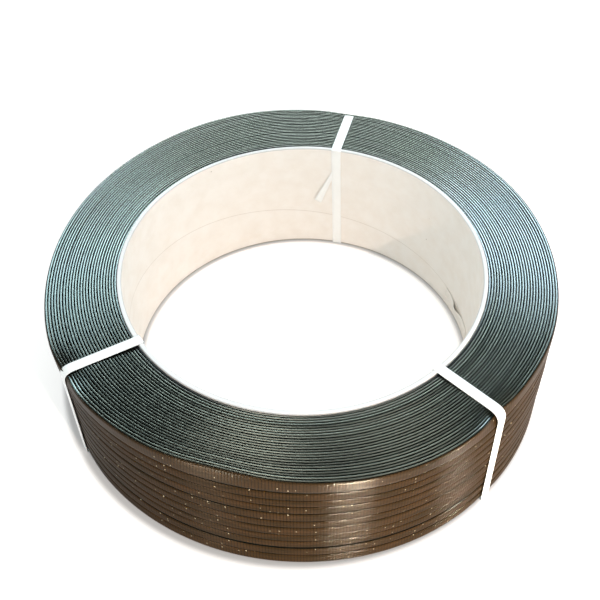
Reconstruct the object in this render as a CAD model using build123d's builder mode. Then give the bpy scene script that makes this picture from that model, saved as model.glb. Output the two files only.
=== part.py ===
"""Coil of plastic strapping: a wound ring of strap on a paperboard core, held by three flat ties.

Millimetres, +Z up. The coil lies flat: its axis is Z, and the ties' undersides touch the floor at Z = 0.
"""

import os
from math import cos, radians, sin, sqrt

from build123d import *

# Paperboard core
bore_diameter = 406.4
core_wall = 5.0
core_proud = 2.0

# Strap winding: each turn on the side laps the one above it, and the layers show as rings on the ends
winding_build = 77.6
winding_clearance = 0.2
winding_shoulder = 4.0
turn_pitch = 13.0
turn_count = 12
turn_lap = 0.8
ring_groove_count = 4
ring_groove_depth = 2.2

# Ties, flat strap wrapped once round the section of the coil
tie_width = 12.0
tie_thickness = 0.6
tie_clearance = 0.15
back_tie_angle = 77.2
left_tie_angle = 212.4
right_tie_angle = 312.9

# Loose tail of the back tie, lying on the bore wall
tail_drop = 35.0
tail_length = 50.0
tail_width = 8.5
tail_lean_angle = 25.0
tail_cut_slant = 4.0

# Radii and levels worked out from the sizes above
bore_radius = bore_diameter / 2
core_radius = bore_radius + core_wall
winding_inner_radius = core_radius + winding_clearance
winding_radius = winding_inner_radius + winding_build
winding_face = turn_pitch * turn_count
core_height = winding_face + 2 * core_proud
core_bottom = tie_thickness
core_top = core_bottom + core_height
winding_bottom = core_bottom + core_proud
winding_top = winding_bottom + winding_face
ring_pitch = (winding_build - winding_shoulder) / (ring_groove_count + 1)
tie_wall_radius = bore_radius - tie_clearance
tie_bore_face = sqrt(tie_wall_radius**2 - (tie_width / 2) ** 2)

# Shoulders of the winding, where the end turns give way: from the end face to the side
bottom_shoulder = [
    (winding_radius - turn_lap - winding_shoulder, winding_bottom),
    (winding_radius - turn_lap, winding_bottom + winding_shoulder),
]
top_shoulder = [
    (winding_radius, winding_top - winding_shoulder),
    (winding_radius - winding_shoulder, winding_top),
]


def side_plane(angle):
    """Upright plane through the coil's axis: local X runs outward at the angle, local Y runs up."""
    outward = (cos(radians(angle)), sin(radians(angle)), 0)
    sideways = (sin(radians(angle)), -cos(radians(angle)), 0)
    return Plane(origin=(0, 0, 0), x_dir=outward, z_dir=sideways)


def facing_plane(angle):
    """Upright plane across that direction: local X runs sideways round the coil, local Y runs up."""
    outward = (cos(radians(angle)), sin(radians(angle)), 0)
    sideways = (-sin(radians(angle)), cos(radians(angle)), 0)
    return Plane(origin=(0, 0, 0), x_dir=sideways, z_dir=outward)


def tie_loop(angle):
    """One tie: the taut line round the core and the winding, thickened outward, across its width."""
    with BuildSketch(side_plane(angle)) as wrapped_section:
        with BuildLine():
            Polyline(
                (tie_bore_face, core_bottom),
                (core_radius, core_bottom),
                *bottom_shoulder,
                (winding_radius, winding_bottom + turn_pitch),
                *top_shoulder,
                (core_radius, core_top),
                (tie_bore_face, core_top),
                close=True,
            )
        make_face()
    with BuildPart() as loop:
        with BuildSketch(side_plane(angle)):
            add(wrapped_section.sketch_local)
            offset(amount=tie_thickness, kind=Kind.INTERSECTION)
            add(wrapped_section.sketch_local, mode=Mode.SUBTRACT)
        extrude(amount=tie_width / 2, both=True)
    return loop.part


# Core: a tube that stands a little past the winding at both ends
with BuildPart() as core:
    with BuildSketch(Plane.XY.offset(core_bottom)):
        Circle(core_radius)
        Circle(bore_radius, mode=Mode.SUBTRACT)
    extrude(amount=core_height)
core.part.label = "core"

# Rings on the ends, from the core outward: a groove between one group of layers and the next
bottom_rings = []
top_rings = []
for ring in range(1, ring_groove_count + 1):
    ring_radius = winding_inner_radius + ring_pitch * ring
    for offset_share, depth_share in ((-1, 0), (0, 1), (1, 0)):
        point_radius = ring_radius + ring_groove_depth * offset_share
        bottom_rings.append((point_radius, winding_bottom + ring_groove_depth * depth_share))
        top_rings.append((point_radius, winding_top - ring_groove_depth * depth_share))

# Turns on the side, from the bottom up: the upper edge of each turn laps the lower edge of the one above
side_turns = []
for turn in range(1, turn_count):
    lap_level = winding_bottom + turn_pitch * turn
    side_turns += [(winding_radius, lap_level), (winding_radius - turn_lap, lap_level)]

# Winding: one turned solid with its bore
with BuildPart() as strap_winding:
    with BuildSketch(Plane.XZ):
        with BuildLine():
            Polyline(
                (winding_inner_radius, winding_bottom),
                *bottom_rings,
                *bottom_shoulder,
                *side_turns,
                *top_shoulder,
                *reversed(top_rings),
                (winding_inner_radius, winding_top),
                close=True,
            )
        make_face()
    revolve(axis=Axis.Z)
strap_winding.part.label = "strap_winding"

# Loose tail: a strip cut out of a thin ring that lines the bore, running down and away from the back tie
tail_along = Vector(sin(radians(tail_lean_angle)), -cos(radians(tail_lean_angle)))
tail_across = Vector(-cos(radians(tail_lean_angle)), -sin(radians(tail_lean_angle)))
tail_upper_leave = Vector(tie_width / 2, core_top - tail_drop)
tail_upper_end = tail_upper_leave + tail_along * tail_length
tail_lower_end = tail_upper_end + tail_across * tail_width + tail_along * tail_cut_slant
tail_upper_root = tail_upper_end - tail_along * (tail_upper_end.X / tail_along.X)
tail_lower_root = tail_lower_end - tail_along * (tail_lower_end.X / tail_along.X)
with BuildPart() as back_tail:
    with BuildSketch(Plane.XY.offset(core_bottom)):
        Circle(tie_wall_radius)
        Circle(tie_wall_radius - tie_thickness, mode=Mode.SUBTRACT)
    extrude(amount=core_height)
    with BuildSketch(facing_plane(back_tie_angle)):
        with BuildLine():
            Polyline(tail_upper_root, tail_upper_end, tail_lower_end, tail_lower_root, close=True)
        make_face()
    extrude(amount=bore_radius, mode=Mode.INTERSECT)

# Ties: three loops of the same flat strap, the back one with its loose tail
with BuildPart() as tie_back:
    add(tie_loop(back_tie_angle))
    add(back_tail.part)
tie_back.part.label = "tie_back"

with BuildPart() as tie_left:
    add(tie_loop(left_tie_angle))
tie_left.part.label = "tie_left"

with BuildPart() as tie_right:
    add(tie_loop(right_tie_angle))
tie_right.part.label = "tie_right"

os.makedirs("parts", exist_ok=True)
export_step(core.part, "parts/core.step")
export_step(strap_winding.part, "parts/strap_winding.step")
export_step(tie_back.part, "parts/tie_back.step")
export_step(tie_left.part, "parts/tie_left.step")
export_step(tie_right.part, "parts/tie_right.step")
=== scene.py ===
"""Looks of a coil of plastic strapping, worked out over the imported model.

Metres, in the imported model's frame: +Z runs up the coil's axis and the floor is at Z = 0.
Angles run counter-clockwise from +X, seen from above; -Y faces the camera.
"""

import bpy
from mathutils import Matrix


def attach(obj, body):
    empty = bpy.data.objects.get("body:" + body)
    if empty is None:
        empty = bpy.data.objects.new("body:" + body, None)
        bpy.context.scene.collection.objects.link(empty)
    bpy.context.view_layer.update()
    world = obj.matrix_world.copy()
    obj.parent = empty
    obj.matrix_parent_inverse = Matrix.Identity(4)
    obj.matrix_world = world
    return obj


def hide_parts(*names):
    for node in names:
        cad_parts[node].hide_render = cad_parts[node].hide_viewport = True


bl_info = {
    "name": "Strapping Coil",
    "version": (1, 0, 0),
    "blender": (4, 5, 0),
    "location": "3D View > Sidebar > Coil",
    "description": "Wound strap, paperboard core, ties and studio of a strapping coil",
    "category": "Object",
}

import bpy
import numpy as np
from bpy.props import FloatProperty, FloatVectorProperty, IntProperty, PointerProperty
from mathutils import Matrix, Vector

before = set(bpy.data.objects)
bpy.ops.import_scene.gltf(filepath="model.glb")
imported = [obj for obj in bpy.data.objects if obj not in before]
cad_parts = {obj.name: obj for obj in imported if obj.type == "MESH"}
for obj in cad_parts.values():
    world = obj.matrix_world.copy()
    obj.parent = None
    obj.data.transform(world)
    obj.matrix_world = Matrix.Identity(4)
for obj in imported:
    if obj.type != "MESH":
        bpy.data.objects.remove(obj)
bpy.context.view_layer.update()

MM = 0.001
BODY = "root"
FULL_TURN = 2 * np.pi

# Points round the coil in each kind of piece, and the seed of each piece's random draws
FINE_STEPS, COARSE_STEPS, CORE_STEPS = 300, 240, 360
TOP_SEED, BOTTOM_SEED, SIDE_SEED, CORE_SEED = 11, 12, 13, 21

# UV map that holds each piece's own lay, in metres
LAY = "lay"

# Sockets of a Mix node that blends two colours: share of the second, the two colours, and the result
SHARE, FIRST, SECOND, BLENDED = 0, 6, 7, 2

# Refractive index of polypropylene and of paperboard, and the gloss of the strap's flat, embossed or rubbed
PLASTIC_IOR, BOARD_IOR = 1.49, 1.45
EMBOSSED_GLOSS, RUBBED_GLOSS = 0.045, 0.13


def node_span(node):
    """Inner and outer radius, lowest and highest level of a turned CAD node."""
    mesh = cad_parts[node].data
    places = np.zeros(len(mesh.vertices) * 3, np.float32)
    mesh.vertices.foreach_get("co", places)
    places = places.reshape(-1, 3).astype(float)
    radii = np.hypot(places[:, 0], places[:, 1])
    return radii.min(), radii.max(), places[:, 2].min(), places[:, 2].max()


CORE_BORE, CORE_OUTER, CORE_BOTTOM, CORE_TOP = node_span("core")
WIND_INNER, WIND_OUTER, WIND_BOTTOM, WIND_TOP = node_span("strap_winding")

# How the slack winding departs from a true ring, read off the photo:
# angle and half-width of each hump in degrees, height in millimetres
RIM_BULGE = (
    (30.0, 14.0, 2.3),
    (106.0, 16.0, 4.8),
    (213.0, 15.0, 6.0),
    (258.0, 10.0, -1.5),
    (292.0, 11.0, 3.0),
    (322.0, 9.0, -2.5),
    (350.0, 10.0, -0.8),
)

# Where the top turns roll inwards and catch the light: angle and half-width in degrees, reach in millimetres
TURN_ROLL = ((253.0, 7.0, -4.2),)

# Powers by which the bulge and the roll fade from the outermost layer to the core
BULGE_POWER, ROLL_POWER = 1.6, 3

# Shares of a tie's draw at the top rim that move the bottom rim in and up
LOW_DRAW_IN, LOW_DRAW_UP = 0.15, 0.1

# Lines between the side's turns: depth below the top rim and width of the gap, in millimetres
TURN_GAPS = (
    (18.0, 1.7),
    (31.0, 1.2),
    (44.0, 1.3),
    (57.0, 1.8),
    (70.5, 1.5),
    (84.0, 1.7),
    (97.5, 1.5),
    (110.5, 1.4),
    (124.5, 2.6),
    (140.0, 1.8),
)

# Section of one side turn: share of its height from the upper to the lower gap, and drop in millimetres.
# The gap below adds one more point, and TURN_GAP says whether the face after each point lies in the gap
TURN_SHARE = np.array([0.0, 0.06, 0.25, 0.5, 0.75, 0.94, 1.0])
TURN_DROP = np.array([0.8, 0.08, 0.01, 0.0, 0.01, 0.06, 0.5])
TURN_GAP = (0, 0, 0, 0, 0, 0, 1, 1)

# Section of one ring: share of the pitch from slot to slot, share of the slot's depth at each point, and
# whether the face after that point lies in the slot. The crown's outer half falls by about 11 degrees
RING_STEP = np.array([0.0, 0.19, 0.21, 0.235, 0.27, 0.46, 0.5, 0.7, 0.745, 0.775, 0.8])
RING_DROP = np.array([1.0, 0.97, 0.03, 0.008, 0.0, 0.0, 0.0059, 0.0351, 0.0417, 0.09, 0.97])
RING_GAP = (1, 1, 0, 0, 0, 0, 0, 0, 1, 1, 1)

# Shoulder outside the outermost ring, and the hidden back: distance in from the side and down from the top
# in millimetres, and the material of the face after each point and after the back's inner one
SHOULDER_IN = np.array([0.9, 0.25, 0.5, 6.0])
SHOULDER_DOWN = np.array([0.6, 1.8, 3.2, 9.0])
SHOULDER_PICK = (2, 2, 2, 0, 0)

# Section of flat strap: share of the half-width and of the half-thickness at each point round it
STRAP_ACROSS = np.array([-0.96, -0.5, 0.0, 0.5, 0.96, 1.0, 0.96, 0.5, 0.0, -0.5, -0.96, -1.0])
STRAP_THICK = np.array([1.0, 1.0, 1.0, 1.0, 1.0, 0.0, -1.0, -1.0, -1.0, -1.0, -1.0, 0.0])

# How far each tie's corners stand to the side of its own plane, in millimetres: bore foot, lower rim,
# side foot, side top, upper rim, bore top
TIE_SWAY = {
    "back": (-4.0, -3.9, -2.5, -2.0, 1.0, 1.0),
    "left": (-9.7, -10.0, -15.0, -6.5, 1.5, 1.5),
    "right": (1.8, 2.0, 3.0, 3.0, -2.0, -2.0),
}


def to_linear(hex_colour):
    """Linear colour, with alpha 1, of an sRGB hex value such as #808080."""
    srgb = np.array([int(hex_colour[i:i + 2], 16) for i in (1, 3, 5)]) / 255
    linear = np.where(srgb <= 0.04045, srgb / 12.92, ((srgb + 0.055) / 1.055) ** 2.4)
    return (*linear.tolist(), 1.0)


def length_prop(name, description, default):
    """A size in metres that the user may change."""
    return FloatProperty(name=name, description=description, default=default, unit="LENGTH", precision=5)


def angle_prop(name, description, degrees):
    """An angle that the user may change, given here in degrees."""
    return FloatProperty(name=name, description=description, default=np.radians(degrees), subtype="ANGLE")


def colour_prop(name, description, hex_colour):
    """A colour that the user may change, given here as an sRGB hex value."""
    return FloatVectorProperty(
        name=name, description=description, default=to_linear(hex_colour),
        size=4, min=0, max=1, subtype="COLOR",
    )


class WindingSettings(bpy.types.PropertyGroup):
    """Sizes and colours of the wound strap."""

    inner_radius: length_prop("Inner radius", "Where the first layer lies on the core", WIND_INNER)
    outer_radius: length_prop("Outer radius", "Face of the outermost layer", WIND_OUTER)
    bottom: length_prop("Bottom", "Level of the lower end", WIND_BOTTOM)
    top: length_prop("Top", "Level of the upper end", WIND_TOP)
    ring_count: IntProperty(name="Rings", description="Ridges drawn on each end", default=25, min=4)
    ring_depth: length_prop("Ring depth", "Depth of the slot between two rings", 4.0 * MM)
    bulge_reach: length_prop("Bulge reach", "Depth at which the rim's bulge has mostly faded", 60 * MM)
    roll_reach: length_prop("Roll reach", "Depth to which the top turns roll inwards", 26 * MM)
    draw_reach: length_prop("Draw reach", "How far in from the rim a tie's draw is felt", 9 * MM)
    draw_width: angle_prop("Draw width", "Half-width of a tie's draw round the coil", 3.2)
    emboss_pitch: length_prop("Emboss pitch", "Spacing of the cross ribs pressed into the strap", 3.3 * MM)
    face_colour: colour_prop("Face colour", "Flat of the strap, seen on the side", "#271d0e")
    edge_colour: colour_prop("Edge colour", "Edges of the strap, seen on the ends", "#0d100d")


class CoreSettings(bpy.types.PropertyGroup):
    """Sizes and colours of the paperboard core."""

    bore_radius: length_prop("Bore radius", "Inside of the tube", CORE_BORE)
    outer_radius: length_prop("Outer radius", "Outside of the tube", CORE_OUTER)
    bottom: length_prop("Bottom", "Level of the lower rim", CORE_BOTTOM)
    top: length_prop("Top", "Level of the upper rim", CORE_TOP)
    seam_level: length_prop("Seam level", "Height of the spiral seam at angle 0", 21 * MM)
    seam_rise: length_prop("Seam rise", "Climb of the spiral seam in one turn", 137 * MM)
    liner_colour: colour_prop("Liner colour", "White-lined face of the board", "#f9f3ec")


class TieSettings(bpy.types.PropertyGroup):
    """Sizes, places and colour of the three ties."""

    width: length_prop("Width", "Width of the tie strap", 12 * MM)
    thickness: length_prop("Thickness", "Thickness of the tie strap", 0.6 * MM)
    back_angle: angle_prop("Back tie", "Where the back tie crosses the ring", 77.2)
    left_angle: angle_prop("Left tie", "Where the left tie crosses the ring", 212.4)
    right_angle: angle_prop("Right tie", "Where the right tie crosses the ring", 312.9)
    back_draw: length_prop("Back draw", "How far the back tie draws the rim in", 0.8 * MM)
    left_draw: length_prop("Left draw", "How far the left tie draws the rim in", 3.0 * MM)
    right_draw: length_prop("Right draw", "How far the right tie draws the rim in", 4.5 * MM)
    bend_radius: length_prop("Bend radius", "Bend of a tie over the top rim", 13 * MM)
    tail_drop: length_prop("Tail drop", "Depth below the rim at which the tail leaves the back tie", 35 * MM)
    tail_length: length_prop("Tail length", "Length of the tail's upper edge", 50 * MM)
    tail_width: length_prop("Tail width", "Width of the tail halfway along it", 8.5 * MM)
    tail_lean: angle_prop("Tail lean", "Lean of the tail from upright", 25)
    tail_slant: length_prop("Tail slant", "Slant of the tail's cut end", 4 * MM)
    colour: colour_prop("Colour", "White strap", "#fdfdfb")


class StageSettings(bpy.types.PropertyGroup):
    """Camera, floor and light of the studio."""

    camera_place: FloatVectorProperty(
        name="Camera place", description="Where the camera stands",
        default=(-3.0 * MM, -769.0 * MM, 945.1 * MM), size=3, subtype="TRANSLATION",
    )
    camera_tilt: angle_prop("Camera tilt", "How far the camera looks down", 47.74)
    camera_roll: angle_prop("Camera roll", "Turn of the camera about its view", -0.46)
    lens: FloatProperty(
        name="Lens", description="Focal length on a 36 mm sensor", default=58.38, unit="CAMERA",
    )
    fill: FloatProperty(name="Fill", description="Strength of the even light from all round", default=0.87)
    floor_colour: colour_prop("Floor colour", "Pale studio floor", "#fffbf9")


def angle_gap(theta, angle):
    """Signed angle from the second to the first, the short way round."""
    return (theta - angle + np.pi) % FULL_TURN - np.pi


def bell(value, width):
    """Bell curve of height 1 round 0: the exponential of minus half the square of value over width."""
    return np.exp(-0.5 * (value / width) ** 2)


def humps(theta, table):
    """Sum of bell curves round the coil, one for each row of angle, half-width and height."""
    return sum(
        height * MM * bell(angle_gap(theta, np.radians(angle)), np.radians(width))
        for angle, width, height in table
    )


def tie_draws(ties):
    """Name, angle and draw of each tie."""
    return (
        ("back", ties.back_angle, ties.back_draw),
        ("left", ties.left_angle, ties.left_draw),
        ("right", ties.right_angle, ties.right_draw),
    )


def settle(theta, radius, level):
    """Radius and level at which a point of a true winding lies in the slack one.

    The top rim stands out by RIM_BULGE, which fades towards the core by a power of the share of the
    winding's build, and down the side exponentially. The top turns roll in by TURN_ROLL, as the square of
    the height above the roll's reach. Each tie draws both rims in and towards the middle, by a bell curve
    across the tie times a bell curve of the distance from the rim.
    """
    winding = bpy.context.scene.coil_winding
    build = winding.outer_radius - winding.inner_radius
    share = np.clip((radius - winding.inner_radius) / build, 0, 1.05)
    fade = np.exp(-np.clip(winding.top - level, 0, None) / winding.bulge_reach)
    rolled = np.clip(1 - (winding.top - level) / winding.roll_reach, 0, 1) ** 2
    bulge = humps(theta, RIM_BULGE) * share ** BULGE_POWER * fade
    bulge = bulge + humps(theta, TURN_ROLL) * share ** ROLL_POWER * rolled
    drawn = sum(
        draw * bell(angle_gap(theta, angle), winding.draw_width)
        for _, angle, draw in tie_draws(bpy.context.scene.coil_ties)
    )
    inward = winding.outer_radius - radius
    near_top = bell(np.hypot(inward, winding.top - level), winding.draw_reach)
    near_bottom = bell(np.hypot(inward, level - winding.bottom), winding.draw_reach)
    placed_radius = radius + bulge - drawn * (near_top + LOW_DRAW_IN * near_bottom)
    return placed_radius, level - drawn * (near_top - LOW_DRAW_UP * near_bottom)


def turned_points(theta, radius, level):
    """Points in space of angles, radii and levels, as one array with x, y and z last."""
    theta, radius, level = np.broadcast_arrays(theta, radius, level)
    return np.stack([radius * np.cos(theta), radius * np.sin(theta), level], axis=-1)


def even_angles(steps):
    """Angles evenly round the coil, from 0 and without the full turn."""
    return np.arange(steps) * FULL_TURN / steps


def lay_of(along, across):
    """UV grid in metres: along the rows, across the columns, each one longer than the points."""
    return np.stack(np.broadcast_arrays(along[:, None], across[None, :]), axis=-1)


def grid_piece(name, points, uv, materials, slot, replaced, open_ends=False, picked=None):
    """Makes one piece from a grid of points, closed across its columns, and its rows unless open_ends.

    Each cell is a quad, with its own corner of the uv grid, which has one more row and column than the
    points, so the pattern doesn't run back at the seam. Open ends are closed by one face each. The signed
    volume of the whole tells whether the faces point outwards, and turns them if they don't. Where picked
    is given, it holds for each column which of the materials its faces take.
    """
    rows, columns = points.shape[:2]
    index = np.arange(rows * columns).reshape(rows, columns)
    below = np.roll(index, -1, axis=0)
    quads = np.stack([index, below, np.roll(below, -1, axis=1), np.roll(index, -1, axis=1)], axis=-1)
    corners = np.stack([uv[:-1, :-1], uv[1:, :-1], uv[1:, 1:], uv[:-1, 1:]], axis=2)
    if open_ends:
        quads, corners = quads[:-1], corners[:-1]
    quads, corners = quads.reshape(-1, 4), corners.reshape(-1, 4, 2)
    flat = points.reshape(-1, 3)
    a, b, c, d = (flat[quads[:, i]] for i in range(4))
    volume = np.sum(np.cross(b - a, c - a) * a) + np.sum(np.cross(c - a, d - a) * a)
    loops, loop_uv = quads.ravel(), corners.reshape(-1, 2)
    starts = np.arange(len(quads)) * 4
    if open_ends:
        loops = np.concatenate([loops, index[0], index[-1][::-1]])
        loop_uv = np.concatenate([loop_uv, uv[0, :-1], uv[-1, :-1][::-1]])
        starts = np.concatenate([starts, [len(quads) * 4, len(quads) * 4 + columns]])
    if volume < 0:
        ends = np.append(starts[1:], len(loops))
        turned = np.repeat(starts + ends - 1, ends - starts) - np.arange(len(loops))
        loops, loop_uv = loops[turned], loop_uv[turned]
    mesh = bpy.data.meshes.new(name)
    mesh.vertices.add(len(flat))
    mesh.vertices.foreach_set("co", flat.ravel())
    mesh.loops.add(len(loops))
    mesh.loops.foreach_set("vertex_index", loops)
    mesh.polygons.add(len(starts))
    mesh.polygons.foreach_set("loop_start", starts)
    mesh.polygons.foreach_set("use_smooth", np.ones(len(starts), bool))
    layer = mesh.uv_layers.new(name=LAY)
    layer.data.foreach_set("uv", loop_uv.ravel())
    for material in materials:
        mesh.materials.append(material)
    if picked is not None:
        mesh.polygons.foreach_set("material_index", np.tile(picked, len(starts) // columns))
    mesh.update(calc_edges=True)
    mesh.validate()
    piece = bpy.data.objects.new(name, mesh)
    bpy.context.scene.collection.objects.link(piece)
    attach(piece, BODY)
    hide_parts(replaced)


def add_node(tree, kind, inputs=None, **settings):
    """Adds one shader node, sets its properties, and sets or links its inputs by name or number."""
    made = tree.nodes.new("ShaderNode" + kind)
    for key, value in settings.items():
        setattr(made, key, value)
    for key, value in (inputs or {}).items():
        if isinstance(value, bpy.types.NodeSocket):
            tree.links.new(value, made.inputs[key])
        else:
            made.inputs[key].default_value = value
    return made


def new_material(name):
    """An empty material, as the material and its node tree."""
    material = bpy.data.materials.new(name)
    material.use_nodes = True
    material.node_tree.nodes.clear()
    return material, material.node_tree


def streak_pattern(tree, lay, length, width, detail):
    """Soft noise on the strap's own lay, in streaks of about the given length and width."""
    stretch = add_node(tree, "Mapping", {"Vector": lay, "Scale": (1 / length, 1 / width, 1)})
    streak = add_node(tree, "TexNoise", {"Vector": stretch.outputs[0], "Scale": 1.0, "Detail": detail})
    return streak.outputs["Fac"]


def speck_pattern(tree, cells, near, far, strength, rarity):
    """Share of a speck's colour, over a pattern of cells with one point in each.

    A speck has its full strength up to the near distance from its cell's point and fades out at the far one,
    both as shares of the cells' spacing. Only a cell whose random number is above the rarity holds a speck.
    """
    speck = add_node(tree, "MapRange", {
        "Value": cells.outputs["Distance"], "From Min": near, "From Max": far,
        "To Min": strength, "To Max": 0.0,
    })
    number = add_node(tree, "SeparateColor", {"Color": cells.outputs["Color"]})
    chosen = add_node(tree, "Math", {0: number.outputs[0], 1: rarity}, operation="GREATER_THAN")
    both = add_node(tree, "Math", {0: speck.outputs[0], 1: chosen.outputs[0]}, operation="MULTIPLY")
    return both.outputs[0]


def strap_edge_material(settings):
    """Slit edges of embossed polypropylene strap, stacked: narrow glossy ridges, dark with a cool sheen."""
    material, tree = new_material("polypropylene_strap_slit_edges")
    lay = add_node(tree, "UVMap", uv_map=LAY).outputs["UV"]
    # Streaks run along the strap and differ from one layer to the next
    streak = streak_pattern(tree, lay, 60 * MM, 2 * MM, 2.0)
    worn = add_node(tree, "MapRange", {"Value": streak, "From Min": 0.35, "From Max": 0.75})
    shade = add_node(tree, "Mix", {
        SHARE: worn.outputs[0], FIRST: settings.edge_colour, SECOND: to_linear("#1b201a"),
    }, data_type="RGBA")
    # The first layers on the core keep a purplish cast
    across = add_node(tree, "SeparateXYZ", {"Vector": lay}).outputs["Y"]
    inner = add_node(tree, "MapRange", {
        "Value": across, "From Min": settings.inner_radius + 2 * MM,
        "From Max": settings.inner_radius + 9 * MM, "To Min": 0.3, "To Max": 0.0,
    })
    colour = add_node(tree, "Mix", {
        SHARE: inner.outputs[0], FIRST: shade.outputs[BLENDED], SECOND: to_linear("#2f2738"),
    }, data_type="RGBA")
    rough = add_node(tree, "MapRange", {"Value": streak, "To Min": 0.16, "To Max": 0.28})
    shader = add_node(tree, "BsdfPrincipled", {
        "Base Color": colour.outputs[BLENDED], "Roughness": rough.outputs[0], "IOR": PLASTIC_IOR,
        "Specular IOR Level": 0.22, "Specular Tint": to_linear("#dfe8de"),
    })
    add_node(tree, "OutputMaterial", {"Surface": shader.outputs[0]})
    return material


def strap_gap_painted_shade_material():
    """Gaps between the layers of strap, painted as shade: near-black plastic with no sheen, faintly mottled.
    """
    material, tree = new_material("polypropylene_strap_gap_painted_shade")
    place = add_node(tree, "TexCoord").outputs["Object"]
    # The painted shade is mottled a little between two near-blacks
    shade_mottle_spacing = 8 * MM
    shade_mottle = add_node(tree, "TexNoise", {"Vector": place, "Scale": 1 / shade_mottle_spacing, "Detail": 2.0})
    share = add_node(tree, "MapRange", {"Value": shade_mottle.outputs["Fac"], "From Min": 0.4, "From Max": 0.8})
    colour = add_node(tree, "Mix", {
        SHARE: share.outputs[0], FIRST: to_linear("#070b0a"), SECOND: to_linear("#121614"),
    }, data_type="RGBA")
    shader = add_node(tree, "BsdfPrincipled", {
        "Base Color": colour.outputs[BLENDED], "Roughness": 0.95, "IOR": PLASTIC_IOR,
        "Specular IOR Level": 0.0,
    })
    add_node(tree, "OutputMaterial", {"Surface": shader.outputs[0]})
    return material


def strap_face_material(settings, name, gloss):
    """Flat of polypropylene strap, rolled with fine cross ribs: satin brown, with upright glints."""
    material, tree = new_material(name)
    lay = add_node(tree, "UVMap", uv_map=LAY).outputs["UV"]
    along = add_node(tree, "SeparateXYZ", {"Vector": lay}).outputs["X"]
    streak = streak_pattern(tree, lay, 50 * MM, 6 * MM, 3.0)
    worn = add_node(tree, "MapRange", {"Value": streak, "From Min": 0.3, "From Max": 0.75})
    shade = add_node(tree, "Mix", {
        SHARE: worn.outputs[0], FIRST: settings.face_colour, SECOND: to_linear("#3d2b1a"),
    }, data_type="RGBA")
    # Dust: specks of about half a millimetre, drawn at nearly a millimetre so that they show
    dust_spacing = 9 * MM
    cells = add_node(tree, "TexVoronoi", {"Vector": lay, "Scale": 1 / dust_spacing}, voronoi_dimensions="2D")
    dust = speck_pattern(tree, cells, 0.04, 0.09, 1.0, 0.8)
    dusty = add_node(tree, "Mix", {
        SHARE: dust, FIRST: shade.outputs[BLENDED], SECOND: to_linear("#b8ab92"),
    }, data_type="RGBA")
    # Cross ribs of the emboss, each a low arch: about 2.4 mm apart on the real strap, drawn coarser to show
    turn = add_node(tree, "Math", {0: along, 1: 1 / settings.emboss_pitch}, operation="MULTIPLY")
    part = add_node(tree, "Math", {0: turn.outputs[0]}, operation="FRACT")
    rest = add_node(tree, "Math", {0: 1.0, 1: part.outputs[0]}, operation="SUBTRACT")
    rib = add_node(tree, "Math", {0: part.outputs[0], 1: rest.outputs[0]}, operation="MULTIPLY")
    # Slow waves along each turn, as wide as the strap, break the glints
    wave = streak_pattern(tree, lay, 35 * MM, 13.5 * MM, 0.0)
    wave_height, rib_height = 0.4 * MM, 0.22 * MM
    arch = add_node(tree, "Math", {0: rib.outputs[0], 1: rib_height}, operation="MULTIPLY")
    relief = add_node(tree, "Math", {0: wave, 1: wave_height, 2: arch.outputs[0]}, operation="MULTIPLY_ADD")
    bump = add_node(tree, "Bump", {"Height": relief.outputs[0], "Strength": 1.0, "Distance": 1.0})
    # Painted shade: the grooves between the ribs are drawn dark
    painted_groove_shade = add_node(tree, "MapRange", {
        "Value": rib.outputs[0], "From Min": 0.03, "From Max": 0.14, "To Min": 1.0, "To Max": 0.0,
    })
    colour = add_node(tree, "Mix", {
        SHARE: painted_groove_shade.outputs[0], FIRST: dusty.outputs[BLENDED], SECOND: to_linear("#0f0a05"),
    }, data_type="RGBA")
    # Fine lines drawn along the strap spread the gloss upright, across them
    lines = add_node(tree, "Tangent", direction_type="UV_MAP", uv_map=LAY)
    rough = add_node(tree, "MapRange", {"Value": streak, "To Min": 0.28, "To Max": 0.34})
    shader = add_node(tree, "BsdfPrincipled", {
        "Base Color": colour.outputs[BLENDED], "Roughness": rough.outputs[0], "IOR": PLASTIC_IOR,
        "Normal": bump.outputs[0], "Specular IOR Level": gloss, "Specular Tint": to_linear("#ead8bc"),
        "Anisotropic": 1.0, "Anisotropic Rotation": 0.25, "Tangent": lines.outputs[0],
    })
    add_node(tree, "OutputMaterial", {"Surface": shader.outputs[0]})
    return material


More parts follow.
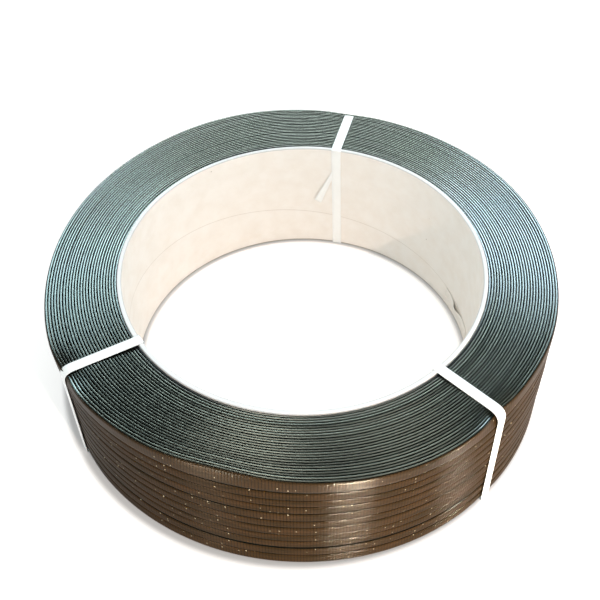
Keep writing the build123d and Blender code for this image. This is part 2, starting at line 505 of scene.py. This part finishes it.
def core_board_material(settings):
    """Spiral-wound paperboard with a white liner: matt cream, softly mottled, with a seam and specks."""
    material, tree = new_material("spiral_wound_white_lined_paperboard")
    lay = add_node(tree, "UVMap", uv_map=LAY).outputs["UV"]
    split = add_node(tree, "SeparateXYZ", {"Vector": lay})
    place = add_node(tree, "TexCoord").outputs["Object"]
    mottle_size, speck_spacing, fibre_size = 20 * MM, 16 * MM, 3 * MM
    mottle = add_node(tree, "TexNoise", {
        "Vector": place, "Scale": 1 / mottle_size, "Detail": 5.0, "Roughness": 0.6,
    })
    tone = add_node(tree, "MapRange", {"Value": mottle.outputs["Fac"], "From Min": 0.35, "From Max": 0.7})
    liner = add_node(tree, "Mix", {
        SHARE: tone.outputs[0], FIRST: settings.liner_colour, SECOND: to_linear("#f4ece3"),
    }, data_type="RGBA")
    # Spiral seam of the liner: the gap to a line that climbs once per turn
    half_rise = settings.seam_rise / 2
    girth = FULL_TURN * settings.bore_radius
    turns = add_node(tree, "Math", {0: split.outputs["X"], 1: 1 / girth}, operation="MULTIPLY")
    climb = add_node(tree, "Math", {
        0: turns.outputs[0], 1: settings.seam_rise, 2: settings.seam_level,
    }, operation="MULTIPLY_ADD")
    above = add_node(tree, "Math", {0: split.outputs["Y"], 1: climb.outputs[0]}, operation="SUBTRACT")
    wrapped = add_node(tree, "Math", {0: above.outputs[0], 1: -half_rise, 2: half_rise}, operation="WRAP")
    gap = add_node(tree, "Math", {0: wrapped.outputs[0]}, operation="ABSOLUTE")
    seam = add_node(tree, "MapRange", {
        "Value": gap.outputs[0], "From Min": 0.2 * MM, "From Max": 0.8 * MM, "To Min": 0.3, "To Max": 0.0,
    })
    seamed = add_node(tree, "Mix", {
        SHARE: seam.outputs[0], FIRST: liner.outputs[BLENDED], SECOND: to_linear("#a8977f"),
    }, data_type="RGBA")
    # Specks in the recycled pulp
    cells = add_node(tree, "TexVoronoi", {"Vector": place, "Scale": 1 / speck_spacing})
    pulp = speck_pattern(tree, cells, 0.03, 0.07, 0.5, 0.9)
    specked = add_node(tree, "Mix", {
        SHARE: pulp, FIRST: seamed.outputs[BLENDED], SECOND: to_linear("#8c7a63"),
    }, data_type="RGBA")
    # The upper rim is drawn whiter and less warm than the liner
    height = add_node(tree, "SeparateXYZ", {"Vector": place}).outputs["Z"]
    rim = add_node(tree, "MapRange", {
        "Value": height, "From Min": settings.top - 1.6 * MM, "From Max": settings.top - 0.6 * MM,
    })
    rimmed = add_node(tree, "Mix", {
        SHARE: rim.outputs[0], FIRST: specked.outputs[BLENDED], SECOND: to_linear("#f8f8f8"),
    }, data_type="RGBA")
    # Painted shade: the rim's inner edge is drawn greyer where it rounds down into the bore
    level_place = add_node(tree, "VectorMath", {0: place, 1: (1, 1, 0)}, operation="MULTIPLY")
    radius = add_node(tree, "VectorMath", {0: level_place.outputs[0]}, operation="LENGTH").outputs["Value"]
    painted_lip_shade = add_node(tree, "MapRange", {
        "Value": radius, "From Min": settings.bore_radius + 0.3 * MM,
        "From Max": settings.bore_radius + 1.2 * MM, "To Min": 0.5, "To Max": 0.0,
    })
    painted_rim_lip_shade = add_node(tree, "Math", {0: painted_lip_shade.outputs[0], 1: rim.outputs[0]}, operation="MULTIPLY")
    rim_with_painted_shade = add_node(tree, "Mix", {
        SHARE: painted_rim_lip_shade.outputs[0], FIRST: rimmed.outputs[BLENDED], SECOND: to_linear("#a89f9a"),
    }, data_type="RGBA")
    # Painted shade: the lower rim is darkened grey where the core meets the floor
    painted_foot_shade = add_node(tree, "MapRange", {
        "Value": height, "From Min": settings.bottom + 0.8 * MM, "From Max": settings.bottom + 2.0 * MM,
        "To Min": 1.0, "To Max": 0.0,
    })
    colour = add_node(tree, "Mix", {
        SHARE: painted_foot_shade.outputs[0], FIRST: rim_with_painted_shade.outputs[BLENDED], SECOND: to_linear("#9c8f7e"),
    }, data_type="RGBA")
    # The liner steps at the seam, and its fibres stand up a little
    step = add_node(tree, "MapRange", {
        "Value": wrapped.outputs[0], "From Min": -0.4 * MM, "From Max": 0.4 * MM,
    })
    fibre = add_node(tree, "TexNoise", {"Vector": place, "Scale": 1 / fibre_size, "Detail": 4.0})
    relief = add_node(tree, "Math", {
        0: fibre.outputs["Fac"], 1: 0.25, 2: step.outputs[0],
    }, operation="MULTIPLY_ADD")
    bump = add_node(tree, "Bump", {"Height": relief.outputs[0], "Strength": 1.0, "Distance": 0.25 * MM})
    shader = add_node(tree, "BsdfPrincipled", {
        "Base Color": colour.outputs[BLENDED], "Roughness": 0.8, "IOR": BOARD_IOR,
        "Specular IOR Level": 0.05, "Normal": bump.outputs[0],
    })
    add_node(tree, "OutputMaterial", {"Surface": shader.outputs[0]})
    return material


def tie_material(settings):
    """White polypropylene strap: satin, with faint cross ribs and a little handling dirt."""
    material, tree = new_material("white_polypropylene_tie_strap")
    lay = add_node(tree, "UVMap", uv_map=LAY).outputs["UV"]
    along = add_node(tree, "SeparateXYZ", {"Vector": lay}).outputs["X"]
    place = add_node(tree, "TexCoord").outputs["Object"]
    smudge_size, rib_pitch = 30 * MM, 2.0 * MM
    smudge = add_node(tree, "TexNoise", {"Vector": place, "Scale": 1 / smudge_size, "Detail": 3.0})
    dirt = add_node(tree, "MapRange", {"Value": smudge.outputs["Fac"], "From Min": 0.45, "From Max": 0.8})
    colour = add_node(tree, "Mix", {
        SHARE: dirt.outputs[0], FIRST: settings.colour, SECOND: to_linear("#f6f5f2"),
    }, data_type="RGBA")
    turn = add_node(tree, "Math", {0: along, 1: FULL_TURN / rib_pitch}, operation="MULTIPLY")
    rib = add_node(tree, "Math", {0: turn.outputs[0]}, operation="SINE")
    bump = add_node(tree, "Bump", {"Height": rib.outputs[0], "Strength": 1.0, "Distance": 0.03 * MM})
    shader = add_node(tree, "BsdfPrincipled", {
        "Base Color": colour.outputs[BLENDED], "Roughness": 0.42, "IOR": PLASTIC_IOR,
        "Specular IOR Level": 0.2, "Normal": bump.outputs[0],
    })
    add_node(tree, "OutputMaterial", {"Surface": shader.outputs[0]})
    return material


def ring_end_points(settings, theta, seed, lower):
    """One end of the winding as a closed ring: ridges, a shoulder, and a flat back that the side hides.

    Across each ring the level falls from the crown by RING_DROP, down a gentle outer slope, to a slot
    between it and the next. Rings differ in level by a seeded fraction of a millimetre, and lean in or out
    by a degree or two, both drifting round the coil by a slow sine.
    """
    draw = np.random.default_rng(seed)
    rings = settings.ring_count
    shoulder, uneven = 2.0 * MM, 0.1 * MM
    lean_spread, roll_spread = np.radians(1.8), np.radians(1.2)
    lean_centre = 0.45
    pitch = (settings.outer_radius - shoulder / 2 - settings.inner_radius) / rings
    radius = (settings.inner_radius + (np.arange(rings)[:, None] + RING_STEP[None, :]) * pitch).ravel()
    dip = np.tile(settings.ring_depth * RING_DROP, rings)
    lift = draw.normal(0, uneven, rings)
    drift = draw.normal(0, uneven, rings)
    phase = draw.uniform(0, FULL_TURN, rings)
    turns = draw.integers(1, 4, rings)
    wave = lift + drift * np.sin(turns * theta[:, None] + phase)
    lean = draw.normal(0, lean_spread, rings)
    roll = draw.normal(0, roll_spread, rings)
    tilt = lean + roll * np.sin(turns * theta[:, None] + 2 * phase)
    tipped = (tilt[:, :, None] * (RING_STEP - lean_centre) * pitch).reshape(len(theta), -1)
    level = settings.top - dip + np.repeat(wave, len(RING_STEP), axis=1) + tipped
    back_radius = np.append(settings.outer_radius - SHOULDER_IN * MM, settings.inner_radius)
    back_level = settings.top - np.append(SHOULDER_DOWN, SHOULDER_DOWN[-1]) * MM
    radius = np.concatenate([radius, back_radius])
    level = np.concatenate([level, np.tile(back_level, (len(theta), 1))], axis=1)
    if lower:
        level = settings.bottom + settings.top - level
    placed_radius, placed_level = settle(theta[:, None], radius[None, :], level)
    across = np.append(radius, settings.inner_radius)
    along = np.append(theta, FULL_TURN) * (settings.inner_radius + settings.outer_radius) / 2
    return turned_points(theta[:, None], placed_radius, placed_level), lay_of(along, across)


def side_turn_points(settings, theta, seed):
    """Side of the winding as a closed shell: flat crowned turns one above the other, with uneven gaps.

    Between two gaps the radius is the outer one less a small drop towards both edges; at a gap it dips by
    a little more than the gap's width. Each turn stands in or out by a seeded fraction of a millimetre,
    drifting round the coil, and each gap wanders up and down by two slow sines.
    """
    draw = np.random.default_rng(seed)
    gaps = np.array(TURN_GAPS) * MM
    count = len(gaps) + 1
    inset, below_last, behind_last = 1.4 * MM, 1.2 * MM, 2.5 * MM
    shell, tuck = 5 * MM, 3 * MM
    gap_depth = 1.3
    waves = draw.normal(0, 1, (2, len(gaps), 1))
    phases = draw.uniform(0, FULL_TURN, (2, len(gaps), 1))
    slow_wander = 0.6 * MM * waves[0] * np.sin(theta + phases[0])
    quick_wander = 0.35 * MM * waves[1] * np.sin(3 * theta + phases[1])
    width = gaps[:, 1:] * (1 + 0.3 * np.sin(2 * theta + phases[1]))
    gap_level = settings.top - gaps[:, :1] + (slow_wander + quick_wander)
    top_level = np.full((1, len(theta)), settings.top - inset)
    bottom_level = np.full((1, len(theta)), settings.bottom + inset)
    upper = np.concatenate([top_level, gap_level - width / 2])
    lower = np.concatenate([gap_level + width / 2, bottom_level])
    offset = draw.normal(0, 0.18 * MM, (count, 1))
    drift = draw.normal(0, 0.15 * MM, (count, 1))
    start = draw.uniform(0, FULL_TURN, (count, 1))
    stand = offset + drift * np.sin(theta + start)
    level = upper[:, None, :] + (lower - upper)[:, None, :] * TURN_SHARE[None, :, None]
    radius = settings.outer_radius + stand[:, None, :] - (TURN_DROP * MM)[None, :, None]
    floor_level = np.concatenate([gap_level, bottom_level - below_last])[:, None, :]
    last_floor = np.full((1, len(theta)), settings.outer_radius - behind_last)
    floor_radius = np.concatenate([settings.outer_radius - gap_depth * width, last_floor])[:, None, :]
    level = np.concatenate([level, floor_level], axis=1).reshape(-1, len(theta)).T
    radius = np.concatenate([radius, floor_radius], axis=1).reshape(-1, len(theta)).T
    back = np.ones((len(theta), 1))
    back_radius = back * (settings.outer_radius - shell)
    radius = np.concatenate([radius, back_radius, back_radius], axis=1)
    level = np.concatenate([level, back * (settings.bottom + tuck), back * (settings.top - tuck)], axis=1)
    across = np.append(level.mean(axis=0), settings.top)
    along = np.append(theta, FULL_TURN) * settings.outer_radius
    placed_radius, placed_level = settle(theta[:, None], radius, level)
    return turned_points(theta[:, None], placed_radius, placed_level), lay_of(along, across)


def core_points(settings, theta, seed):
    """Paperboard tube: bore wall, rims with worn edges, outer wall.

    The profile is a rectangle with corners rounded by a millimetre. The upper rim rises and falls by a few
    tenths of a millimetre and the wall by less, as sums of slow sines with seeded phases.
    """
    draw = np.random.default_rng(seed)
    soft, plain = 1.0 * MM, 6 * MM
    wall_steps = 14
    rim_height, wall_depth = 0.35 * MM, 0.2 * MM
    arc = np.radians([0, 30, 60, 90])
    inner_arc = settings.bore_radius + soft * (1 - np.cos(arc))
    outer_arc = settings.outer_radius - soft * (1 - np.cos(arc))
    rise_arc = soft * (1 - np.sin(arc))
    wall = np.linspace(settings.bottom + plain, settings.top - plain, wall_steps)
    radius = np.concatenate([
        np.full(wall_steps, settings.bore_radius), inner_arc, outer_arc[::-1], outer_arc, inner_arc[::-1],
    ])
    level = np.concatenate([
        wall, settings.top - rise_arc, settings.top - rise_arc[::-1],
        settings.bottom + rise_arc, settings.bottom + rise_arc[::-1],
    ])
    waves = np.arange(2, 9)
    phases = draw.uniform(0, FULL_TURN, (2, len(waves)))
    rim = (np.sin(theta[:, None] * waves + phases[0]) / waves).sum(axis=1)
    wall_wave = (np.sin(theta[:, None] * waves + phases[1]) / waves).sum(axis=1)
    upper = np.clip((level - settings.bottom) / (settings.top - settings.bottom), 0, 1) ** 4
    placed_level = level[None, :] + rim_height * rim[:, None] * upper[None, :]
    placed_radius = radius[None, :] + wall_depth * wall_wave[:, None]
    along = np.append(theta, FULL_TURN) * settings.bore_radius
    across = np.append(level, level[0])
    return turned_points(theta[:, None], placed_radius, placed_level), lay_of(along, across)


def flap_points(settings):
    """Torn liner under the seam, lifted off the bore wall along its upper edge.

    Over an arc of the wall, the sheet hangs from the seam down, and sags below it by a bell curve along the
    arc. Its distance from the wall is a bell curve along the arc times a falling power of the distance down,
    and its thickness is that of one ply.
    """
    s = np.linspace(0, 1, 40)
    t = np.linspace(0, 1, 10)
    first_angle, arc = 4.0, 20.0
    lift_height, lift_middle, sag_depth, sag_middle, spread = 4.5 * MM, 0.52, 2.5 * MM, 0.62, 0.1
    ply, clear, below_seam, height = 0.35 * MM, 0.15 * MM, 0.4 * MM, 15 * MM
    lift_power = 1.6
    pattern_shift = 4 * MM
    theta = np.radians(first_angle + arc * s)
    lift = lift_height * bell(s - lift_middle, spread)
    drop = below_seam + height * t
    seam = settings.seam_level + settings.seam_rise * theta / FULL_TURN
    sag = sag_depth * bell(s - sag_middle, spread)
    level = (seam - sag)[:, None] - drop[None, :]
    out = clear + lift[:, None] * (1 - t[None, :]) ** lift_power
    front = turned_points(theta[:, None], settings.bore_radius - out - ply, level)
    back = turned_points(theta[:, None], settings.bore_radius - out, level)
    points = np.concatenate([front, back[:, ::-1]], axis=1)
    middle = level.mean(axis=0)
    across = np.concatenate([middle, middle[::-1], middle[:1]])
    along = np.append(theta, theta[-1]) * settings.bore_radius
    return points, lay_of(along, across - pattern_shift)


def rounded_loop(corners, radii, arc_steps, run_steps):
    """Closed line through corners, each rounded by a parabola that touches both sides, and even between."""
    back = np.roll(corners, 1, axis=0) - corners
    on = np.roll(corners, -1, axis=0) - corners
    back /= np.linalg.norm(back, axis=1, keepdims=True)
    on /= np.linalg.norm(on, axis=1, keepdims=True)
    bend = np.pi - np.arccos(np.clip((back * on).sum(axis=1), -1, 1))
    reach = (radii * np.tan(bend / 2))[:, None]
    start, end = corners + back * reach, corners + on * reach
    t = np.linspace(0, 1, arc_steps)[None, :, None]
    arcs = (1 - t) ** 2 * start[:, None] + 2 * t * (1 - t) * corners[:, None] + t ** 2 * end[:, None]
    s = (np.arange(1, run_steps) / run_steps)[None, :, None]
    runs = end[:, None] * (1 - s) + np.roll(start, -1, axis=0)[:, None] * s
    return np.concatenate([arcs, runs], axis=1).reshape(-1, corners.shape[1])


def tie_points(ties, winding, core, angle, sway):
    """One tie: the section of flat strap carried along the taut line round the core and the winding.

    From each rim of the core the line runs straight to the winding's side, as steep as the ring that stands
    out most lets it, and bends over the rim. Its corners stand to the side by the sway. The strap's flat
    faces away from the section it holds, and is bent onto the round of the coil.
    """
    rim_steps, side_steps, arc_steps, run_steps = 60, 40, 11, 16
    first_ring, side_foot, side_head = 4 * MM, 20 * MM, 12 * MM
    over_rings, under_rings, over_rim = 0.25 * MM, 0.1 * MM, 0.3 * MM
    off_side, off_bore = 0.5 * MM, 0.3 * MM
    skin = ties.thickness / 2 + 0.1 * MM
    radii = np.linspace(core.outer_radius + first_ring, winding.outer_radius, rim_steps)
    top_radius, top_level = settle(angle, radii, np.full(rim_steps, winding.top + over_rings))
    low_radius, low_level = settle(angle, radii, np.full(rim_steps, winding.bottom - under_rings))
    rim = core.top + over_rim
    top_slope = np.max((top_level - rim) / (top_radius - core.outer_radius))
    low_slope = np.min((low_level - core.bottom) / (low_radius - core.outer_radius))
    heights = np.linspace(winding.bottom + side_foot, winding.top - side_head, side_steps)
    wall = settle(angle, np.full(side_steps, winding.outer_radius + off_side), heights)[0] + skin
    clear = np.max(wall - np.linspace(wall[0], wall[-1], side_steps))
    side_low, side_top = wall[0] + clear, wall[-1] + clear
    bore = core.bore_radius - skin - off_bore
    floor_line = core.bottom - ties.thickness / 2
    radius = np.array([bore, core.outer_radius, side_low, side_top, core.outer_radius, bore])
    level = np.array([
        floor_line, floor_line, floor_line + low_slope * (side_low - core.outer_radius),
        rim + skin + top_slope * (side_top - core.outer_radius), rim + skin, rim + skin,
    ])
    corners = np.stack([radius, np.array(sway) * MM, level], axis=1)
    bends = np.array([1.2 * MM, 4 * MM, 2.5 * MM, ties.bend_radius, 5 * MM, 1.2 * MM])
    line = rounded_loop(corners, bends, arc_steps, run_steps)
    ahead = np.roll(line, -1, axis=0) - np.roll(line, 1, axis=0)
    ahead /= np.linalg.norm(ahead, axis=1, keepdims=True)
    across_way = np.cross(ahead, np.stack([ahead[:, 2], 0 * ahead[:, 1], -ahead[:, 0]], axis=1))
    across_way /= np.linalg.norm(across_way, axis=1, keepdims=True)
    outward = np.cross(across_way, ahead)
    across = STRAP_ACROSS * ties.width / 2
    thick = STRAP_THICK * (ties.thickness / 2 - 0.01 * MM)
    wide = line[:, None] + across_way[:, None] * across[None, :, None]
    local = wide + outward[:, None] * thick[None, :, None]
    lengths = np.linalg.norm(np.roll(line, -1, axis=0) - line, axis=1)
    along = np.concatenate([[0], np.cumsum(lengths)])
    points = turned_points(angle + local[:, :, 1] / local[:, :, 0], local[:, :, 0], local[:, :, 2])
    return points, lay_of(along, np.append(across, across[0]))


def tail_points(ties, core):
    """Loose tail of the back tie: flat strap that comes out beside the tie and leans down the bore wall.

    Each line along the strap starts just inside the tie's edge and ends at the slanted cut, and the strap
    widens evenly on the way. Its distance from the wall grows with a power of the distance from the tie,
    and most at the upper edge, so the tail curls off the wall.
    """
    s = np.linspace(0, 1, 30)
    tucked, clear = 1.2 * MM, 0.3 * MM
    low_curl, more_curl, curl_power = 1.2 * MM, 3.6 * MM, 0.8
    first_width, widening = 0.7, 0.6
    along_way = np.array([np.sin(ties.tail_lean), -np.cos(ties.tail_lean)])
    across_way = np.array([-np.cos(ties.tail_lean), -np.sin(ties.tail_lean)])
    leave = np.array([ties.width / 2, core.top - ties.tail_drop])
    share = (STRAP_ACROSS + 1) / 2
    reach = ties.tail_length + ties.tail_slant * share
    spread = ties.tail_width * (first_width + widening * s)
    start = (share * spread[0] * np.cos(ties.tail_lean) - tucked) / np.sin(ties.tail_lean)
    travel = start[None, :] + (reach - start)[None, :] * s[:, None]
    flat = leave + travel[:, :, None] * along_way + (spread[:, None] * share)[:, :, None] * across_way
    lift = clear + (low_curl + more_curl * (1 - share)[None, :]) * s[:, None] ** curl_power
    thick = STRAP_THICK * (ties.thickness / 2 - 0.02 * MM)
    radius = core.bore_radius - lift - ties.thickness / 2 - thick[None, :]
    theta = ties.back_angle + flat[:, :, 0] / core.bore_radius
    along = np.append(s, 1.0) * ties.tail_length
    across = np.append(share, share[0]) * ties.tail_width
    return turned_points(theta, radius, flat[:, :, 1]), lay_of(along, across)


class COIL_OT_winding(bpy.types.Operator):
    """Makes the wound strap: both ends with their rings, and the side with its turns"""

    bl_idname = "coil.winding"
    bl_label = "Strap winding"

    def execute(self, context):
        settings = context.scene.coil_winding
        # The gaps between rings and between turns take a painted shade
        edges, gaps = strap_edge_material(settings), strap_gap_painted_shade_material()
        faces = strap_face_material(settings, "polypropylene_strap_embossed_face", EMBOSSED_GLOSS)
        rubbed = strap_face_material(settings, "polypropylene_strap_rubbed_face", RUBBED_GLOSS)
        fine, coarse = even_angles(FINE_STEPS), even_angles(COARSE_STEPS)
        picked = np.concatenate([np.tile(RING_GAP, settings.ring_count), SHOULDER_PICK])
        ends = (
            ("winding_top_rings", fine, TOP_SEED, False),
            ("winding_bottom_rings", coarse, BOTTOM_SEED, True),
        )
        for name, theta, seed, lower in ends:
            grid_piece(name, *ring_end_points(settings, theta, seed, lower), (edges, gaps, faces),
                       "strap_plastic", "strap_winding", picked=picked)
        # The top turn is rubbed glossier than the rest, and the last two columns are the hidden back
        top_turn = np.where(TURN_GAP, 1, 2)
        picked = np.concatenate([top_turn, np.tile(TURN_GAP, len(TURN_GAPS)), [0, 0]])
        grid_piece("winding_side_turns", *side_turn_points(settings, fine, SIDE_SEED), (faces, gaps, rubbed),
                   "strap_plastic", "strap_winding", picked=picked)
        return {"FINISHED"}


class COIL_OT_core(bpy.types.Operator):
    """Makes the paperboard core and its torn liner"""

    bl_idname = "coil.core"
    bl_label = "Paperboard core"

    def execute(self, context):
        settings = context.scene.coil_core
        board = core_board_material(settings)
        tube = core_points(settings, even_angles(CORE_STEPS), CORE_SEED)
        grid_piece("core_tube", *tube, (board,), "core_board", "core")
        grid_piece("core_torn_liner", *flap_points(settings), (board,), "core_board", "core", open_ends=True)
        return {"FINISHED"}


class COIL_OT_ties(bpy.types.Operator):
    """Makes the three ties and the loose tail of the back one"""

    bl_idname = "coil.ties"
    bl_label = "Ties"

    def execute(self, context):
        scene = context.scene
        ties, winding, core = scene.coil_ties, scene.coil_winding, scene.coil_core
        strap = tie_material(ties)
        for place, angle, _ in tie_draws(ties):
            band = tie_points(ties, winding, core, angle, TIE_SWAY[place])
            grid_piece(f"tie_{place}_band", *band, (strap,), "tie_plastic", f"tie_{place}")
        tail = tail_points(ties, core)
        grid_piece("tie_back_tail", *tail, (strap,), "tie_plastic", "tie_back", open_ends=True)
        return {"FINISHED"}


def shown_share(tree):
    """1 for rays that the eye follows, straight or by gloss or glass, and 0 for rays that only light."""
    rays = add_node(tree, "LightPath").outputs
    seen = add_node(tree, "Math", {0: rays["Is Camera Ray"], 1: rays["Is Glossy Ray"]}, operation="MAXIMUM")
    shown = add_node(tree, "Math", {0: seen.outputs[0], 1: rays["Is Transmission Ray"]}, operation="MAXIMUM")
    return shown.outputs[0]


def floor_material(settings):
    """Painted studio floor: plain near-white, with a painted shadow round the coil that leans to the left.
    """
    material, tree = new_material("painted_studio_floor")
    lean, reach, darkest, glow_strength = 5 * MM, 9 * MM, 0.46, 0.42
    # Painted shadow: distance from the coil, into its bore or out from its side, which is moved a little to
    # the left
    place = add_node(tree, "TexCoord").outputs["Object"]
    radius = add_node(tree, "VectorMath", {0: place}, operation="LENGTH").outputs["Value"]
    inside = add_node(tree, "Math", {0: CORE_BORE, 1: radius}, operation="SUBTRACT")
    shifted = add_node(tree, "VectorMath", {0: place, 1: (lean, 0, 0)}, operation="ADD")
    beyond = add_node(tree, "VectorMath", {0: shifted.outputs[0]}, operation="LENGTH").outputs["Value"]
    outside = add_node(tree, "Math", {0: beyond, 1: WIND_OUTER}, operation="SUBTRACT")
    away = add_node(tree, "Math", {0: inside.outputs[0], 1: outside.outputs[0]}, operation="MAXIMUM")
    shade = add_node(tree, "MapRange", {
        "Value": away.outputs[0], "From Min": 0.0, "From Max": reach, "To Min": darkest, "To Max": 1.0,
    }, interpolation_type="SMOOTHSTEP")
    tone = add_node(tree, "Mix", {
        SHARE: shade.outputs[0], FIRST: (0, 0, 0, 1), SECOND: settings.floor_colour,
    }, data_type="RGBA")
    share = add_node(tree, "Math", {0: shown_share(tree), 1: glow_strength}, operation="MULTIPLY")
    paint = add_node(tree, "BsdfDiffuse", {"Color": tone.outputs[BLENDED]})
    glow = add_node(tree, "Emission", {"Color": tone.outputs[BLENDED], "Strength": share.outputs[0]})
    mixed = add_node(tree, "AddShader", {0: paint.outputs[0], 1: glow.outputs[0]})
    add_node(tree, "OutputMaterial", {"Surface": mixed.outputs[0]})
    return material


def add_floor(scene, settings):
    """A wide sheet just below the coil, white to the camera except where the coil shades it and where a
    shadow is painted round it.
    """
    half, level = 8.0, -0.2 * MM
    mesh = bpy.data.meshes.new("studio_floor")
    corners = [(-half, -half, level), (half, -half, level), (half, half, level), (-half, half, level)]
    mesh.from_pydata(corners, [], [(0, 1, 2, 3)])
    mesh.materials.append(floor_material(settings))
    floor = bpy.data.objects.new("studio_floor", mesh)
    scene.collection.objects.link(floor)


def add_world(scene, settings):
    """An even surround, white where it is seen and a slightly cool fill elsewhere."""
    world = bpy.data.worlds.new("studio_surround")
    scene.world = world
    world.use_nodes = True
    tree = world.node_tree
    tree.nodes.clear()
    shown = shown_share(tree)
    strength = add_node(tree, "MapRange", {"Value": shown, "To Min": settings.fill, "To Max": 1.0})
    tint = add_node(tree, "Mix", {
        SHARE: shown, FIRST: to_linear("#f2fdff"), SECOND: (1, 1, 1, 1),
    }, data_type="RGBA")
    surround = add_node(tree, "Background", {
        "Color": tint.outputs[BLENDED], "Strength": strength.outputs[0],
    })
    add_node(tree, "OutputWorld", {"Surface": surround.outputs[0]})


def add_lamp(name, azimuth, elevation, distance, size, power, colour="#ffffff", mirrored=True, lit=None,
             beam=180.0):
    """A flat lamp that faces the middle of the coil, from an angle round it and an angle above the floor.

    A mirrored lamp shows only in the gloss of what it lights, and any other lamp only in its colour. Where
    lit is given, the lamp lights only that collection. The beam is the full angle of its light in degrees.
    """
    lamp = bpy.data.lights.new(name, "AREA")
    lamp.shape = "RECTANGLE"
    lamp.size, lamp.size_y = size
    lamp.spread = np.radians(beam)
    lamp.energy = power
    lamp.color = to_linear(colour)[:3]
    around, above = np.radians(azimuth), np.radians(elevation)
    away = Vector((np.cos(around) * np.cos(above), np.sin(around) * np.cos(above), np.sin(above)))
    middle = Vector((0, 0, CORE_TOP / 2))
    place = away.to_track_quat("Z", "Y").to_matrix().to_4x4()
    place.translation = middle + away * distance
    holder = bpy.data.objects.new(name, lamp)
    holder.matrix_world = place
    holder.visible_camera = False
    holder.visible_diffuse = not mirrored
    holder.visible_glossy = mirrored
    holder.light_linking.receiver_collection = lit
    bpy.context.scene.collection.objects.link(holder)


def add_lamps():
    """Lamps that light the colours from the front and the right, and lamps that only the gloss mirrors."""
    side = bpy.data.collections.new("winding_side")
    side.objects.link(bpy.data.objects["winding_side_turns"])
    # Colour: a small key at the front right, a soft fill at the right and a low wash on the side
    add_lamp("key", 297.2, 31.6, 2.6, (0.06, 0.06), 20.5, "#ffe6d6", mirrored=False)
    add_lamp("right_fill", 10.0, 38.0, 2.6, (0.8, 0.8), 9, "#f0f8ff", mirrored=False)
    add_lamp("low_wash", 306.0, 0.0, 2.4, (0.3, 0.1), 120, "#fff0dc", mirrored=False)
    # Gloss of the rings at the front: two lamps high above the coil
    add_lamp("high_left_glint", 130.0, 79.0, 2.4, (0.5, 0.5), 44, "#fff6e6")
    add_lamp("high_right_glint", 36.0, 73.0, 2.4, (0.7, 0.7), 29, "#fff6e6")
    # Gloss of the side alone: lamps near the floor, two of them with a narrow beam
    add_lamp("low_left_glint", 239.0, 4.0, 2.4, (0.4, 0.12), 55, lit=side)
    add_lamp("low_front_glint", 284.0, 4.0, 2.4, (0.12, 0.12), 5.0, lit=side, beam=13.8)
    add_lamp("low_right_glint", 324.0, 4.0, 2.4, (0.06, 0.12), 2.6, lit=side, beam=12.6)
    add_lamp("low_right_card", 356.0, 10.0, 2.2, (1.4, 0.6), 11, "#ffdfb0", lit=side)
    # Cool gloss of the rings at the back and on the left and right: wide cards behind the coil
    add_lamp("back_card", 90.0, 38.5, 5.0, (3.2, 0.9), 790, "#ecfff8")
    add_lamp("back_right_card", 58.0, 35.2, 5.0, (2.2, 1.3), 725, "#cfecff")
    add_lamp("back_left_card", 122.0, 37.4, 5.0, (2.2, 1.5), 565, "#c8ecf8")


def add_camera(scene, settings):
    """The camera at the photo's view."""
    view = bpy.data.cameras.new("photo_camera")
    view.sensor_width, view.lens = 36.0, settings.lens
    view.clip_start, view.clip_end = 0.01, 50.0
    camera = bpy.data.objects.new("photo_camera", view)
    tilt = Matrix.Rotation(np.pi / 2 - settings.camera_tilt, 4, "X")
    roll = Matrix.Rotation(settings.camera_roll, 4, "Z")
    camera.matrix_world = Matrix.Translation(settings.camera_place) @ tilt @ roll
    scene.collection.objects.link(camera)
    scene.camera = camera


class COIL_OT_stage(bpy.types.Operator):
    """Makes the pale floor, the studio light and the camera at the photo's view"""

    bl_idname = "coil.stage"
    bl_label = "Stage"

    def execute(self, context):
        scene = context.scene
        add_floor(scene, scene.coil_stage)
        add_world(scene, scene.coil_stage)
        add_lamps()
        add_camera(scene, scene.coil_stage)
        scene.view_settings.view_transform = "Standard"
        return {"FINISHED"}


class COIL_PT_panel(bpy.types.Panel):
    """Lists the steps and their settings in the 3D view's sidebar"""

    bl_label = "Strapping coil"
    bl_idname = "COIL_PT_panel"
    bl_space_type = "VIEW_3D"
    bl_region_type = "UI"
    bl_category = "Coil"

    def draw(self, context):
        steps = (("coil.winding", "coil_winding"), ("coil.core", "coil_core"), ("coil.ties", "coil_ties"),
                 ("coil.stage", "coil_stage"))
        for operator, group in steps:
            box = self.layout.box()
            box.operator(operator)
            settings = getattr(context.scene, group)
            for key in settings.bl_rna.properties.keys():
                if key not in {"rna_type", "name"}:
                    box.prop(settings, key)


GROUPS = {
    "coil_winding": WindingSettings,
    "coil_core": CoreSettings,
    "coil_ties": TieSettings,
    "coil_stage": StageSettings,
}
CLASSES = (*GROUPS.values(), COIL_OT_winding, COIL_OT_core, COIL_OT_ties, COIL_OT_stage, COIL_PT_panel)


def register():
    for each in CLASSES:
        bpy.utils.register_class(each)
    for name, group in GROUPS.items():
        setattr(bpy.types.Scene, name, PointerProperty(type=group))


def unregister():
    for name in GROUPS:
        delattr(bpy.types.Scene, name)
    for each in reversed(CLASSES):
        bpy.utils.unregister_class(each)


def main():
    register()
    bpy.ops.coil.winding()
    bpy.ops.coil.core()
    bpy.ops.coil.ties()
    bpy.ops.coil.stage()


if __name__ == "__main__":
    main()
